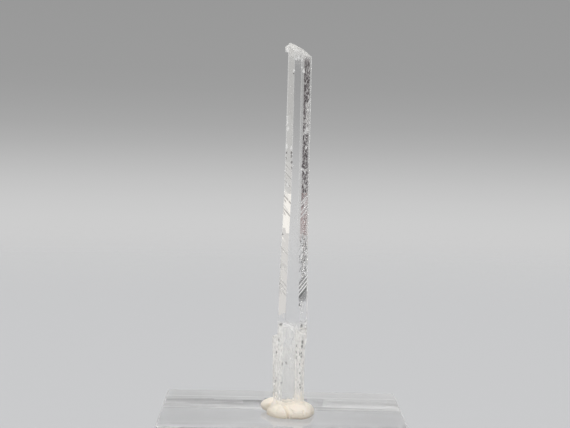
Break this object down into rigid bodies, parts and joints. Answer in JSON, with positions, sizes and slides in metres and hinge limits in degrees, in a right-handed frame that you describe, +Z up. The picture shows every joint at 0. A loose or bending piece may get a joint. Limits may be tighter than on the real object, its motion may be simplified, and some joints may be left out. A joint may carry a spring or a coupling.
{
  "type": "nifontovite crystal",
  "caption": "Slender clear prismatic mineral crystal with a broken frosted tip, held upright by cream putty on a clear square display block",
  "frame": {"origin": "the middle of the block's underside, on the surface that it stands on", "axes": "+Z is up, along the crystal; -Y is the front, where the crystal's widest prism face looks; +X is to the right seen from the front"},
  "size_m": [0.0254, 0.0254, 0.0511],
  "materials": {
    "crystal": "clear and colourless with glassy prism faces, frosted broken tip, etched and whitish foot",
    "putty": "matt, smooth, pressed with the fingers",
    "block": "clear cast acrylic, polished on every face"
  },
  "bodies": {
    "root": {"nifontovite_crystal": "crystal", "mounting_putty": "putty", "acrylic_block": "block"}
  },
  "joints": []
}
